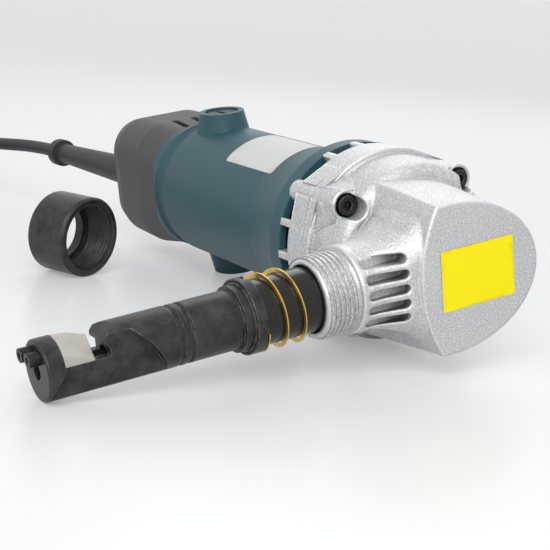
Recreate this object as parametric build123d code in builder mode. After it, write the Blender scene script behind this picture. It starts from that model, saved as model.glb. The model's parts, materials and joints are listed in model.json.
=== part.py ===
from build123d import *
import os
from math import asin, atan2, cos, degrees, hypot, pi, radians, sin, tan

# Electric nibbler for sheet metal, lying on its side with the die holder drawn out of the nose.
# Tool frame: X runs forward along the motor, the die points along -Y, Z is the side that lies uppermost.
# Along the die axis a place is given as "d", which is -Y. Sizes are in millimetres.

os.makedirs("parts", exist_ok=True)

# Driving sizes
body_length = 234.0
barrel_radius = 9.5
motor_radius = 27.6
wall = 2.9
gap = 0.3
running_fit = 0.05

# Places along the motor axis
front_x = 17.7
rear_x = front_x - body_length
parting_x = -35.5
vent_x = parting_x - 9.1
rim_x = vent_x - 6.4
cover_x = rim_x - 118.0
brush_x = rim_x - 97.6
bore_radius = motor_radius - wall
rim_radius = motor_radius + 6.2
head_radius = rim_radius + 0.6

# Places along the die axis
nose_end = 54.6
nose_radius = 13.2
nose_bore = 11.2
collar_radius = 14.8
collar_end = 42.0
draw_out = 16.5
ring_back = 75.5
ring_front = ring_back + 3.5
step_front = ring_front + 3.1
flange_radius = 12.2
shank_radius = nose_bore - 0.5
shank_end = 35.0
tip_end = 146.0
disc_back = tip_end - 5.5
die_face = disc_back - 10.5
throat_width = 3.5
beak_end = die_face - throat_width

# Resting pose: rolled about the motor axis until the lower brush boss and the tip both touch the floor
floor_drop = motor_radius + 7.6
tip_edge = tip_end - 0.5
tilt = degrees(asin(floor_drop / hypot(tip_edge, barrel_radius)) - atan2(barrel_radius, tip_edge))
boss_radius = 9.2
boss_top = (floor_drop - boss_radius * sin(radians(tilt))) / cos(radians(tilt))

# Crank drive
gear_module = 0.7
pinion_teeth = 8
gear_teeth = 34
pinion_shift = 0.45
crank_d = -gear_module * (pinion_teeth + gear_teeth) / 2
throw = 2.4
pin_bearing_radius = 4.6
ram_radius = 6.5
lag = 0.22 * throw
yoke_half = pin_bearing_radius + lag + gap
yoke_slot = pin_bearing_radius + throw + gap
yoke_wall = 1.5
yoke_back = -8.4
yoke_front = 0.4
punch_radius = 2.5
ram_end = 58.0
punch_end = beak_end - draw_out - 0.5

# Screws that hold the head on, as places across the motor axis
head_screw_d = 23.6
head_screw_n = 20.9
head_screws = [(d, n) for d in (-head_screw_d, head_screw_d) for n in (-head_screw_n, head_screw_n)]

# Supply cord and the exit in the rear cover
cord_diameter = 6.2
cord_radius = cord_diameter / 2
exit_d = 13.1
guard_length = 77.0
guard_drop = 5.74
guard_way = Vector(-guard_length, -guard_drop, 0).normalized()
guard_start = Vector(rear_x + 5, -exit_d, 0)
guard_neck = 5.2


def across(x, d=0.0, n=0.0):
    """Plane square to the motor axis, local axes d and Z, whose normal points rearward."""
    return Plane(origin=(x, -d, n), x_dir=(0, -1, 0), z_dir=(-1, 0, 0))


def along_die(d, x=0.0, n=0.0):
    """Plane square to the die axis, local axes X and Z, whose normal points to the tip."""
    return Plane(origin=(x, -d, n), x_dir=(1, 0, 0), z_dir=(0, -1, 0))


def down_from_boss(height, side):
    """Plane square to the brushes at a height above the motor axis, whose normal points to the axis."""
    return Plane(origin=(brush_x, 0, side * height), x_dir=(1, 0, 0), z_dir=(0, 0, -side))


def tube_along_x(x_front, length, outer, inner, d=0.0, n=0.0):
    """Plain ring or bush whose axis runs along X."""
    with BuildPart() as ring:
        with BuildSketch(across(x_front, d, n)):
            Circle(outer)
            if inner > 0:
                Circle(inner, mode=Mode.SUBTRACT)
        extrude(amount=length)
    return ring.part


def gear_points(teeth, shift, turn):
    """Outline of a small spur gear with straight-sided teeth, one of them at the angle given."""
    pitch = gear_module * teeth / 2
    root = pitch + gear_module * (shift - 1.3)
    tip = pitch + gear_module * (shift + 0.75)
    half_pitch_tooth = (pi / 4 + shift * tan(radians(20))) / (teeth / 2) * 0.86
    points = []
    for tooth in range(teeth):
        middle = radians(turn) + 2 * pi * tooth / teeth
        root_half = half_pitch_tooth + (pitch - root) * tan(radians(20)) / pitch * 0.8
        tip_half = half_pitch_tooth - (tip - pitch) * tan(radians(24)) / pitch
        for radius, angle in ((root, -root_half), (tip, -tip_half), (tip, tip_half), (root, root_half)):
            points.append((radius * cos(middle + angle), radius * sin(middle + angle)))
    return points


pieces = {}

# Motor housing: painted barrel that flares to the vent rim, with two brush bosses
flare_start = rim_x - 33.0
flare_end = rim_x - 8.0
groove_x = cover_x + 9.0
land_x = groove_x - 4.0
land_radius = motor_radius - 0.4
square_half = motor_radius - 2.6
square_corner = 18.0
rear_bore = square_half - 2.4
screw_boss_radius = 4.0
screw_radius = 1.7
screw_bite = 7.0
holder_radius = 5.6
cap_radius = 6.9
cap_height = 3.9
cap_recess = 0.8
boss_flare = 12.0
slider_slot_length = 18.0
slider_slot_width = 8.0

with BuildPart() as motor_cavity:
    with BuildSketch(Plane.XY):
        with BuildLine():
            cavity_start = (cover_x - 1, rear_bore)
            cavity_rear = Line(cavity_start, (groove_x + 4, rear_bore))
            cavity_step = Line(cavity_rear @ 1, (groove_x + 6, bore_radius))
            cavity_flare = Line(cavity_step @ 1, (flare_start + 2, bore_radius))
            cavity_slope = Line(cavity_flare @ 1, (flare_end + 3, rim_radius - wall))
            cavity_rim = Line(cavity_slope @ 1, (rim_x + 1, rim_radius - wall))
            cavity_face = Line(cavity_rim @ 1, (rim_x + 1, 0))
            cavity_axis = Line(cavity_face @ 1, (cover_x - 1, 0))
            Line(cavity_axis @ 1, cavity_start)
        make_face()
    revolve(axis=Axis.X)
    with BuildSketch(across(rim_x + 1)):
        with Locations(*head_screws):
            Circle(screw_boss_radius)
    extrude(amount=24, mode=Mode.SUBTRACT)
    with BuildSketch(across(cover_x + 8)):
        Circle(bore_radius + 1)
        with PolarLocations(15.5, 4, start_angle=0):
            Circle(6.6, mode=Mode.SUBTRACT)
        Circle(8.0, mode=Mode.SUBTRACT)
        with Locations((-21, 0)):
            Rectangle(6, 9, mode=Mode.SUBTRACT)
    extrude(amount=4, mode=Mode.SUBTRACT)

with BuildPart() as motor_housing:
    with BuildSketch(Plane.XY):
        with BuildLine():
            land_edge = (land_x, land_radius)
            groove = ThreePointArc(land_edge, (groove_x, motor_radius - 1.7), (groove_x + 4, motor_radius))
            barrel_side = Line(groove @ 1, (flare_start, motor_radius))
            flare = ThreePointArc(
                barrel_side @ 1,
                (flare_start + 14, motor_radius + 2.0),
                (flare_end, rim_radius - 0.8),
            )
            rim_shoulder = Line(flare @ 1, (flare_end + 1.5, rim_radius))
            rim_side = Line(rim_shoulder @ 1, (rim_x, rim_radius))
            rim_face = Line(rim_side @ 1, (rim_x, 0))
            axis_side = Line(rim_face @ 1, (land_x, 0))
            Line(axis_side @ 1, land_edge)
        make_face()
    revolve(axis=Axis.X)
    with BuildSketch(across(land_x)):
        RectangleRounded(2 * land_radius, 2 * land_radius, land_radius - 0.5)
    with BuildSketch(across(cover_x)):
        RectangleRounded(2 * square_half, 2 * square_half, square_corner)
    loft(ruled=True)
    for side in (1, -1):
        with BuildSketch(down_from_boss(boss_top, side)):
            Circle(boss_radius)
        extrude(amount=14, taper=-boss_flare)
    add(motor_cavity.part, mode=Mode.SUBTRACT)
    for side in (1, -1):
        with BuildSketch(down_from_boss(boss_top, side)):
            Circle(holder_radius)
        extrude(amount=16, mode=Mode.SUBTRACT)
        with BuildSketch(down_from_boss(boss_top, side)):
            Circle(cap_radius + 0.1)
        extrude(amount=cap_recess + cap_height + 0.1, mode=Mode.SUBTRACT)
    with BuildSketch(across(rim_x)):
        with Locations(*head_screws):
            Circle(screw_radius + 0.05)
    extrude(amount=screw_bite, mode=Mode.SUBTRACT)
    with BuildSketch(Plane(origin=(brush_x + 14, 0, 0), x_dir=(1, 0, 0), z_dir=(0, 1, 0))):
        Rectangle(slider_slot_length, slider_slot_width)
    extrude(amount=40, mode=Mode.SUBTRACT)
pieces["motor_housing"] = motor_housing.part

# Rear cover: hollow box moulding with rounded edges, on the squared end of the motor housing
cover_wall = square_half - rear_bore
cover_outside = [
    (cover_x, square_half, square_half, square_corner),
    (cover_x - 14.0, square_half + 0.3, square_half + 1.4, 15.0),
    (rear_x + 12.0, square_half - 0.4, square_half + 1.2, 15.0),
    (rear_x + 4.0, square_half - 2.2, square_half - 0.5, 14.0),
    (rear_x + 1.0, square_half - 5.2, square_half - 3.5, 13.0),
    (rear_x, square_half - 8.0, square_half - 6.5, 12.0),
]
cover_inside = [
    (cover_x, square_half, square_half, square_corner),
    (cover_x - 14.0, square_half, square_half + 1.1, 15.0),
    (rear_x + 12.0, square_half - 0.7, square_half + 0.9, 15.0),
    (rear_x + 4.0, square_half - 3.0, square_half - 1.3, 14.0),
]

with BuildPart() as rear_cover:
    for x, half, tall, corner in cover_outside:
        with BuildSketch(across(x)):
            RectangleRounded(2 * half, 2 * tall, corner)
    loft(ruled=True)
    for x, half, tall, corner in cover_inside:
        with BuildSketch(across(x)):
            RectangleRounded(2 * (half - cover_wall), 2 * (tall - cover_wall), corner - cover_wall)
    loft(ruled=True, mode=Mode.SUBTRACT)
    with BuildSketch(Plane(origin=guard_start - guard_way * 3, z_dir=guard_way)):
        Circle(guard_neck)
    extrude(amount=14, mode=Mode.SUBTRACT)
    with BuildSketch(Plane(origin=(cover_x - 9, 0, 15), x_dir=(1, 0, 0), z_dir=(0, 0, 1))):
        with Locations((0, -5), (0, 4)):
            SlotOverall(13, 3.0)
    extrude(amount=20, mode=Mode.SUBTRACT)
pieces["rear_cover"] = rear_cover.part

# Bearing plate: cast ring between motor and head, notched all round to let the air out
plate_radius = head_radius - 0.2
front_bearing_radius = 9.5
crank_bush_radius = 3.6
fin_angles = (0, 20, -20, 70, -70, 90, -90, 110, -110, 160, -160, 180)
fin_width = 2.5
fin_depth = 5.2

with BuildPart() as bearing_plate:
    with BuildSketch(across(parting_x)):
        Circle(plate_radius)
        with Locations(*head_screws):
            Circle(screw_boss_radius + 1.0)
    extrude(amount=parting_x - vent_x)
    with BuildSketch(across(vent_x)):
        for angle in fin_angles:
            fin_spot = Vector(0, plate_radius - fin_depth / 2, 0).rotate(Axis.Z, -angle)
            with Locations(Location(fin_spot, (0, 0, -angle))):
                Rectangle(fin_width, fin_depth)
        with Locations(*head_screws):
            Circle(screw_boss_radius)
        Circle(12.5)
    extrude(amount=vent_x - rim_x)
    with BuildSketch(across(rim_x + 6)):
        Circle(front_bearing_radius)
    extrude(amount=7, mode=Mode.SUBTRACT)
    with BuildSketch(across(parting_x + 1)):
        Circle(5.2)
        with Locations((crank_d, 0)):
            Circle(crank_bush_radius)
    extrude(amount=7.5, mode=Mode.SUBTRACT)
    with BuildSketch(across(parting_x + 1)):
        Circle(5.2)
        with Locations(*head_screws):
            Circle(screw_radius + gap)
    extrude(amount=20, mode=Mode.SUBTRACT)
pieces["bearing_plate"] = bearing_plate.part

# Gear housing: flange, dome, drafted lobe with a flat front, and the threaded nose along the die axis
flange_x = parting_x + 4.5
dome_x = parting_x + 21.5
dome_radius = head_radius - 1.9
dome_round = 4.0
lobe_root_x = dome_x - 6.0
lobe_centre = 10.0
lobe_reach = 35.3
lobe_half = 25.2
lobe_edge_d = 14.4
lobe_bulge_d = 21.7
draft_reach = 4.5
draft_half = 3.0
fairing_d = 25.0
fairing_half = 16.5
seat_x = -24.0
head_height = 4.0
pocket_radius = 4.2
gear_chamber = head_radius - 4.8
bearing_x = -13.0
crank_bearing_radius = 9.5
guide_radius = 8.6
bore_start = shank_end - draw_out - 1
slot_pitch = 4.9
slot_length = 15.0
slot_width = 3.2

with BuildPart() as gear_housing:
    with BuildSketch(Plane.XY):
        with BuildLine():
            flange_edge = Polyline(
                (parting_x, 0),
                (parting_x, head_radius),
                (flange_x, head_radius),
                (flange_x, dome_radius),
                (dome_x - dome_round, dome_radius - 1),
            )
            dome_edge = ThreePointArc(
                flange_edge @ 1,
                (dome_x - 0.3 * dome_round, dome_radius - 1 - 0.3 * dome_round),
                (dome_x, dome_radius - 1 - dome_round),
            )
            Polyline(dome_edge @ 1, (dome_x, 0), (parting_x, 0))
        make_face()
    revolve(axis=Axis.X)
    with BuildSketch(across(seat_x + head_height - 1)):
        with Locations(*head_screws):
            Circle(screw_boss_radius + 1.2)
    extrude(amount=seat_x + head_height - 1 - parting_x)
    for x, more_reach, more_half in ((lobe_root_x, draft_reach, draft_half), (front_x, 0, 0)):
        with BuildSketch(across(x)):
            with BuildLine():
                half = lobe_half + more_half
                round_end = EllipticalCenterArc(
                    (lobe_centre, 0), lobe_reach + more_reach, half, start_angle=90, arc_size=180
                )
                low_edge = Line(round_end @ 1, (lobe_edge_d, -half))
                bulge = ThreePointArc(low_edge @ 1, (lobe_bulge_d, 0), (lobe_edge_d, half))
                Line(bulge @ 1, round_end @ 0)
            make_face()
    loft()
    with BuildSketch(along_die(lobe_edge_d - 2, x=(front_x - 0.2 + dome_x - 3) / 2)):
        RectangleRounded(front_x - 0.2 - dome_x + 3, 2 * lobe_half, 6)
    with BuildSketch(along_die(fairing_d, x=(front_x - 1.5 + dome_x - 2) / 2)):
        RectangleRounded(front_x - 1.5 - dome_x + 2, 2 * fairing_half, 11)
    with BuildSketch(along_die(collar_end - 2)):
        RectangleRounded(2 * collar_radius - 2, 2 * collar_radius - 2, collar_radius - 2)
    loft()
    with BuildSketch(along_die(collar_end - 12)):
        Circle(collar_radius)
    extrude(amount=12)
    with BuildSketch(along_die(collar_end)):
        Circle(nose_radius)
    extrude(amount=nose_end - collar_end)
    chamfer(gear_housing.faces().sort_by(Axis.Y)[0].outer_wire().edges(), 0.8)
    # pockets for the screw heads
    with BuildSketch(across(front_x)):
        with Locations(*head_screws):
            Circle(pocket_radius)
    extrude(amount=front_x - seat_x, mode=Mode.SUBTRACT)
    with BuildSketch(across(seat_x)):
        with Locations(*head_screws):
            Circle(screw_radius + gap)
    extrude(amount=20, mode=Mode.SUBTRACT)
    # gear chamber, crank bearing seat, and chambers for the yoke and the ram behind the front wall
    with BuildSketch(across(-24)):
        Circle(gear_chamber)
    extrude(amount=20, mode=Mode.SUBTRACT)
    with BuildSketch(across(bearing_x, crank_d)):
        Circle(crank_bearing_radius)
    extrude(amount=12, mode=Mode.SUBTRACT)
    yoke_room = 2 * (yoke_slot + yoke_wall + 0.4)
    yoke_far = crank_d - throw - yoke_half - yoke_wall - 0.4
    for x, d_from, d_to in ((yoke_front + 0.8, yoke_far, -10.0), (ram_radius + 1.9, -13.0, 8.8)):
        with BuildSketch(across(x, (d_from + d_to) / 2)):
            RectangleRounded(d_to - d_from, yoke_room, 0.8)
        extrude(amount=x - bearing_x, mode=Mode.SUBTRACT)
    # ram guide seat and nose bore
    with BuildSketch(along_die(5)):
        Circle(guide_radius)
    extrude(amount=20, mode=Mode.SUBTRACT)
    with BuildSketch(along_die(bore_start)):
        Circle(nose_bore)
    extrude(amount=60, mode=Mode.SUBTRACT)
    # blind cooling slots between nose and front face, as deep as the bore's wall allows
    for row in (-2, -1, 0, 1, 2):
        slot_n = row * slot_pitch + 0.5
        bore_half = max(0.0, nose_bore**2 - slot_n**2) ** 0.5
        slot_floor = max(9.0, bore_half + 1.3)
        with BuildSketch(across(front_x + 1, fairing_d + slot_length / 2, slot_n)):
            SlotOverall(slot_length, slot_width)
        extrude(amount=front_x + 1 - slot_floor, mode=Mode.SUBTRACT)
pieces["gear_housing"] = gear_housing.part

# Screws that hold head and bearing plate on the motor housing
with BuildPart() as head_bolts:
    with BuildSketch(across(seat_x + head_height)):
        with Locations(*head_screws):
            Circle(pocket_radius - 0.8)
    extrude(amount=head_height)
    with BuildSketch(across(seat_x)):
        with Locations(*head_screws):
            Circle(screw_radius)
    extrude(amount=seat_x - rim_x + screw_bite - 1)
    with BuildSketch(across(seat_x + head_height)):
        with Locations(*head_screws):
            RegularPolygon(1.9, 6)
    extrude(amount=2.2, mode=Mode.SUBTRACT)
pieces["head_screws"] = head_bolts.part

# Stator: laminated core and its windings
core_front = rim_x - 31.0
core_length = 42.0
rotor_radius = 15.5
air_gap = 0.5
pieces["stator_core"] = tube_along_x(core_front, core_length, bore_radius, rotor_radius + air_gap)

with BuildPart() as stator_windings:
    for x in (core_front + 8, core_front - core_length):
        with BuildSketch(across(x)):
            Circle(bore_radius - 1.2)
            Circle(rotor_radius + 1.2, mode=Mode.SUBTRACT)
            Rectangle(60, 9, mode=Mode.SUBTRACT)
        extrude(amount=8)
pieces["stator_windings"] = stator_windings.part

# Armature: shaft with pinion, core, windings, commutator and fan
shaft_radius = 3.5
pinion_front = -25.5
pinion_length = 8.5
with BuildPart() as armature_shaft:
    with BuildSketch(across(pinion_front)):
        Polygon(*gear_points(pinion_teeth, pinion_shift, 0), align=None)
    extrude(amount=pinion_length)
    with BuildSketch(across(pinion_front - pinion_length)):
        Circle(shaft_radius)
    extrude(amount=pinion_front - pinion_length - cover_x + 1)
pieces["armature_shaft"] = armature_shaft.part
pieces["armature_core"] = tube_along_x(core_front, core_length, rotor_radius, shaft_radius)

with BuildPart() as armature_windings:
    for x in (core_front + 7, core_front - core_length):
        with BuildSketch(across(x)):
            Circle(rotor_radius - 1.5)
            Circle(shaft_radius, mode=Mode.SUBTRACT)
        extrude(amount=7)
pieces["armature_windings"] = armature_windings.part

commutator_radius = 10.0
pieces["commutator"] = tube_along_x(brush_x + 8, 16, commutator_radius, shaft_radius)

fan_front = rim_x - 6.0
fan_radius = 22.0
with BuildPart() as fan:
    with BuildSketch(across(fan_front - 8)):
        Circle(fan_radius)
        Circle(shaft_radius, mode=Mode.SUBTRACT)
    extrude(amount=1.6)
    with BuildSketch(across(fan_front)):
        Circle(6)
        Circle(shaft_radius, mode=Mode.SUBTRACT)
        with PolarLocations(14, 11):
            Rectangle(15, 1.4)
    extrude(amount=8)
pieces["fan"] = fan.part

pieces["front_bearing"] = tube_along_x(rim_x + 6, 6, front_bearing_radius, shaft_radius + running_fit)
pieces["rear_bearing"] = tube_along_x(cover_x + 8, 4, 8.0, shaft_radius + running_fit)

# Brushes in their holders under screwed caps
brush_size = 6.2
with BuildPart() as brush_holders:
    for side in (1, -1):
        with BuildSketch(down_from_boss(boss_top - cap_recess - cap_height - 0.1, side)):
            Circle(holder_radius)
            Rectangle(brush_size + 0.2, brush_size + 0.2, mode=Mode.SUBTRACT)
        extrude(amount=boss_top - cap_recess - cap_height - 0.1 - commutator_radius - 2.5)
pieces["brush_holders"] = brush_holders.part

with BuildPart() as carbon_brushes:
    for side in (1, -1):
        with BuildSketch(down_from_boss(commutator_radius + gap + 12, side)):
            Rectangle(brush_size, brush_size)
        extrude(amount=12)
pieces["carbon_brushes"] = carbon_brushes.part

with BuildPart() as brush_caps:
    for side in (1, -1):
        with BuildSketch(down_from_boss(boss_top - cap_recess, side)):
            Circle(cap_radius)
        extrude(amount=cap_height)
        with BuildSketch(down_from_boss(boss_top - cap_recess, side)):
            Rectangle(9, 1.6)
        extrude(amount=1.5, mode=Mode.SUBTRACT)
pieces["brush_caps"] = brush_caps.part

# Switch in the rear cover, worked by a slider on the top of the housing
slider_travel = 6.0
slider_x = brush_x + 14 - slider_travel / 2
rod_top = rear_bore - 0.6
with BuildPart() as switch_slider:
    with BuildSketch(Plane(origin=(slider_x, rod_top, 0), x_dir=(1, 0, 0), z_dir=(0, 1, 0))):
        Rectangle(slider_slot_length - slider_travel - 2 * gap, slider_slot_width - 2 * gap)
    extrude(amount=motor_radius + 1 - rod_top)
    with BuildSketch(Plane(origin=(slider_x + 3, motor_radius + 0.4, 0), x_dir=(1, 0, 0), z_dir=(0, 1, 0))):
        RectangleRounded(25, 12, 4)
    extrude(amount=3.2)
    with BuildSketch(Plane(origin=(slider_x + 3, motor_radius + 4.4, 0), x_dir=(1, 0, 0), z_dir=(0, 1, 0))):
        with GridLocations(3.2, 0, 6, 1):
            Rectangle(1.2, 10)
    extrude(amount=-2.0, mode=Mode.SUBTRACT)
pieces["switch_slider"] = switch_slider.part

switch_front = cover_x - 8.0
with BuildPart() as switch_rod:
    with BuildSketch(Plane(origin=(slider_x - 5, rod_top, 0), x_dir=(-1, 0, 0), z_dir=(0, -1, 0))):
        Rectangle(slider_x - 5 - switch_front - gap, 5, align=(Align.MIN, Align.CENTER))
    extrude(amount=2)
pieces["switch_rod"] = switch_rod.part

with BuildPart() as switch_body:
    with BuildSketch(across(switch_front, -12)):
        RectangleRounded(15, 18, 2)
    extrude(amount=24)
pieces["switch_body"] = switch_body.part

# Crankshaft with its gear, bearings and the roller that drives the ram
gear_front = -26.0
gear_width = 7.5
crank_journal = 4.0
stub_radius = 2.4
pin_radius = 3.0
with BuildPart() as crankshaft:
    with BuildSketch(across(gear_front - gear_width, crank_d)):
        Circle(stub_radius)
    extrude(amount=gear_front - gear_width - parting_x + 6)
    with BuildSketch(across(bearing_x, crank_d)):
        Circle(crank_journal)
    extrude(amount=gear_width + bearing_x - gear_front)
    with BuildSketch(across(bearing_x + 3.6, crank_d)):
        Circle(6.4)
    extrude(amount=3.6)
    with BuildSketch(across(yoke_front, crank_d - throw)):
        Circle(pin_radius)
    extrude(amount=yoke_front - bearing_x - 3.6)
pieces["crankshaft"] = crankshaft.part

with BuildPart() as drive_gear:
    with BuildSketch(across(gear_front, crank_d)):
        Polygon(*gear_points(gear_teeth, -pinion_shift, 180 / gear_teeth), align=None)
        Circle(crank_journal, mode=Mode.SUBTRACT)
        with PolarLocations(7.2, 6):
            Circle(1.7, mode=Mode.SUBTRACT)
    extrude(amount=gear_width)
pieces["drive_gear"] = drive_gear.part

crank_bore = crank_journal + running_fit
stub_bore = stub_radius + running_fit
roller_length = yoke_front - yoke_back
pieces["crank_bearing"] = tube_along_x(bearing_x - 0.6, 8, crank_bearing_radius, crank_bore, crank_d)
pieces["crank_bush"] = tube_along_x(parting_x - 0.4, 6, crank_bush_radius, stub_bore, crank_d)
pieces["crank_roller"] = tube_along_x(
    yoke_front, roller_length, pin_bearing_radius, pin_radius, crank_d - throw
)

# Ram: yoke round the crank roller, plunger and the punch pinned into it
with BuildPart() as ram:
    with BuildSketch(across(yoke_front, crank_d - throw)):
        Rectangle(2 * (yoke_half + yoke_wall), 2 * (yoke_slot + yoke_wall))
        Rectangle(2 * yoke_half, 2 * yoke_slot, mode=Mode.SUBTRACT)
    extrude(amount=yoke_front - yoke_back)
    with BuildSketch(along_die(crank_d - throw + yoke_half)):
        Circle(ram_radius)
    extrude(amount=ram_end - crank_d + throw - yoke_half)
    with BuildSketch(along_die(ram_end - 14)):
        Circle(punch_radius)
    extrude(amount=20, mode=Mode.SUBTRACT)
pieces["ram"] = ram.part

with BuildPart() as punch:
    with BuildSketch(along_die(ram_end - 14)):
        Circle(punch_radius)
    extrude(amount=punch_end - ram_end + 14)
pieces["punch"] = punch.part

with BuildPart() as guide_bush:
    with BuildSketch(along_die(8.0)):
        Circle(guide_radius)
        Circle(ram_radius + running_fit, mode=Mode.SUBTRACT)
    extrude(amount=bore_start - 8.0)
pieces["guide_bush"] = guide_bush.part

# Die holder: shank, flange and barrel with the cutting throat milled out of it
flat_half = 5.6
seat_n = 0.8
die_screw_spots = [(3.0, 4.9), (-3.0, 4.9)]
die_screw_radius = 1.0
die_screw_bite = 1.3
punch_hole = punch_radius + 0.25
shoulder_d = ring_front - 0.8
shoulder_radius = shank_radius + 0.5
index_groove_d = 99.0
index_groove_step = 3.2
index_groove_width = 1.6
index_groove_depth = 0.6
plunger_bore_end = ram_end + draw_out + 2 * throw + 3.0
with BuildPart() as die_holder:
    with BuildSketch(along_die(shank_end)):
        Circle(shank_radius)
    extrude(amount=shoulder_d - shank_end)
    with BuildSketch(along_die(shoulder_d)):
        Circle(shoulder_radius)
    extrude(amount=ring_front - shoulder_d)
    with BuildSketch(along_die(ring_front)):
        Circle(shank_radius - 0.1)
    extrude(amount=step_front - ring_front)
    with BuildSketch(along_die(step_front)):
        Circle(barrel_radius)
    extrude(amount=tip_end - step_front)
    chamfer(die_holder.faces().sort_by(Axis.Y)[0].outer_wire().edges(), 0.5)
    # two index grooves round the barrel
    for d in (index_groove_d, index_groove_d + index_groove_step):
        with BuildSketch(along_die(d)):
            Circle(barrel_radius + 1)
            Circle(barrel_radius - index_groove_depth, mode=Mode.SUBTRACT)
        extrude(amount=index_groove_width, mode=Mode.SUBTRACT)
    # throat under a slanted beak, and die seat
    throat_top = barrel_radius + 2
    with BuildSketch(Plane(origin=(-15, 0, 0), x_dir=(0, -1, 0), z_dir=(-1, 0, 0))):
        Polygon(
            (disc_back, seat_n),
            (disc_back, throat_top),
            (beak_end - 4.4, throat_top),
            (beak_end - 4.4, 9.8),
            (beak_end - 1.4, 8.0),
            (beak_end, 6.2),
            (beak_end, 4.8),
            (beak_end - 1.6, 3.4),
            (beak_end - 1.6, seat_n),
            align=None,
        )
    extrude(amount=-30, mode=Mode.SUBTRACT)
    # flats on both sides of the web with a curved run-out
    for side in (1, -1):
        with BuildSketch(Plane(origin=(side * flat_half, 0, 0), x_dir=(0, -1, 0), z_dir=(-1, 0, 0))):
            with BuildLine():
                run_out = ThreePointArc((beak_end - 5, 10), (beak_end - 14.5, 1.0), (beak_end - 19.5, -10))
                flat_end = Polyline(run_out @ 1, (tip_end - 1, -10), (tip_end - 1, -5.5), (disc_back, 1))
                Polyline(flat_end @ 1, (disc_back, 10), run_out @ 0)
            make_face()
        extrude(amount=-side * 10, mode=Mode.SUBTRACT)
    # bore for plunger and punch
    with BuildSketch(along_die(shank_end - 1)):
        Circle(ram_radius + 0.6)
    extrude(amount=plunger_bore_end - shank_end + 1, mode=Mode.SUBTRACT)
    with BuildSketch(along_die(shank_end)):
        Circle(punch_hole)
    extrude(amount=tip_end - shank_end + 1, mode=Mode.SUBTRACT)
    with BuildSketch(along_die(disc_back - 1)):
        with Locations(*die_screw_spots):
            Circle(die_screw_radius + 0.1)
    extrude(amount=8, mode=Mode.SUBTRACT)
pieces["die_holder"] = die_holder.part

# Index ring that keeps the holder in one of four positions
with BuildPart() as index_ring:
    with BuildSketch(along_die(ring_back)):
        Circle(flange_radius)
        Circle(shank_radius + running_fit, mode=Mode.SUBTRACT)
    extrude(amount=ring_front - ring_back)
    with BuildSketch(along_die(shoulder_d - gap)):
        Circle(shoulder_radius + gap)
    extrude(amount=ring_front - shoulder_d + 1, mode=Mode.SUBTRACT)
    with BuildSketch(along_die(ring_back)):
        with PolarLocations(flange_radius, 4):
            Rectangle(2.0, 3.0)
    extrude(amount=1.6, mode=Mode.SUBTRACT)
pieces["index_ring"] = index_ring.part

# Die: round segment on the seat, ground to two roof facets that meet over the throat
ridge_d = disc_back - 4.5
with BuildPart() as die:
    with BuildSketch(along_die(die_face)):
        Circle(barrel_radius)
        with Locations((0, seat_n - barrel_radius)):
            Rectangle(4 * barrel_radius, 2 * barrel_radius, mode=Mode.SUBTRACT)
        with Locations((flat_half + barrel_radius, 0), (-flat_half - barrel_radius, 0)):
            Rectangle(2 * barrel_radius, 4 * barrel_radius, mode=Mode.SUBTRACT)
    extrude(amount=disc_back - die_face)
    for side in (1, -1):
        facet = Plane(origin=(0, -ridge_d, barrel_radius), z_dir=(side * 0.72, 0.22, 0.66))
        split(bisect_by=facet, keep=Keep.BOTTOM)
    with BuildSketch(along_die(die_face - 1)):
        Circle(punch_hole - 0.1)
    extrude(amount=20, mode=Mode.SUBTRACT)
    with BuildSketch(along_die(disc_back)):
        with Locations(*die_screw_spots):
            Circle(die_screw_radius + 0.1)
    extrude(amount=-die_screw_bite - 0.2, mode=Mode.SUBTRACT)
pieces["die"] = die.part

die_screw_height = 3.6
with BuildPart() as die_screws:
    with BuildSketch(along_die(tip_end)):
        with Locations(*die_screw_spots):
            Circle(2.2)
    extrude(amount=die_screw_height)
    with BuildSketch(along_die(tip_end)):
        with Locations(*die_screw_spots):
            Circle(die_screw_radius)
    extrude(amount=disc_back - tip_end - die_screw_bite)
    with BuildSketch(along_die(tip_end + die_screw_height)):
        with Locations(*die_screw_spots):
            RegularPolygon(1.2, 6)
    extrude(amount=-1.8, mode=Mode.SUBTRACT)
pieces["die_screws"] = die_screws.part

# Coil spring of flat wire wound on edge, loose between index ring and nose
wire_width = 1.4
wire_thickness = 0.4
spring_radius = shank_radius + gap + wire_width / 2
spring_pitch = 6.6
spring_from = ring_back - 0.4
spring_length = 15.6
spring_start = Vector(sin(radians(-253)), 0, cos(radians(-253)))
spring_seat = Plane(origin=(0, -spring_from, 0), x_dir=spring_start, z_dir=(0, 1, 0))
with BuildPart() as die_spring:
    with BuildLine() as spring_path:
        Helix(spring_pitch, spring_length, spring_radius)
    with BuildSketch(Plane(origin=spring_path.wire() @ 0, x_dir=(1, 0, 0), z_dir=spring_path.wire() % 0)):
        Rectangle(wire_width, wire_thickness)
    sweep(path=spring_path.wire(), is_frenet=True)
pieces["die_spring"] = spring_seat.location * die_spring.part

# Cord guard at the rear cover and the clamp inside it
with BuildPart() as cord_guard:
    with BuildSketch(Plane(origin=guard_start, z_dir=guard_way)):
        Circle(guard_neck)
    extrude(amount=9)
    with BuildSketch(Plane(origin=guard_start + guard_way * 5.6, z_dir=guard_way)):
        Circle(6.6)
    with BuildSketch(Plane(origin=guard_start + guard_way * (guard_length - 3), z_dir=guard_way)):
        Circle(4.6)
    loft()
    with BuildSketch(Plane(origin=guard_start + guard_way * (guard_length - 4), z_dir=guard_way)):
        Circle(6.5)
    extrude(amount=5)
    with BuildSketch(Plane(origin=guard_start - guard_way, z_dir=guard_way)):
        Circle(cord_radius)
    extrude(amount=guard_length + 10, mode=Mode.SUBTRACT)
pieces["cord_guard"] = cord_guard.part

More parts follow.
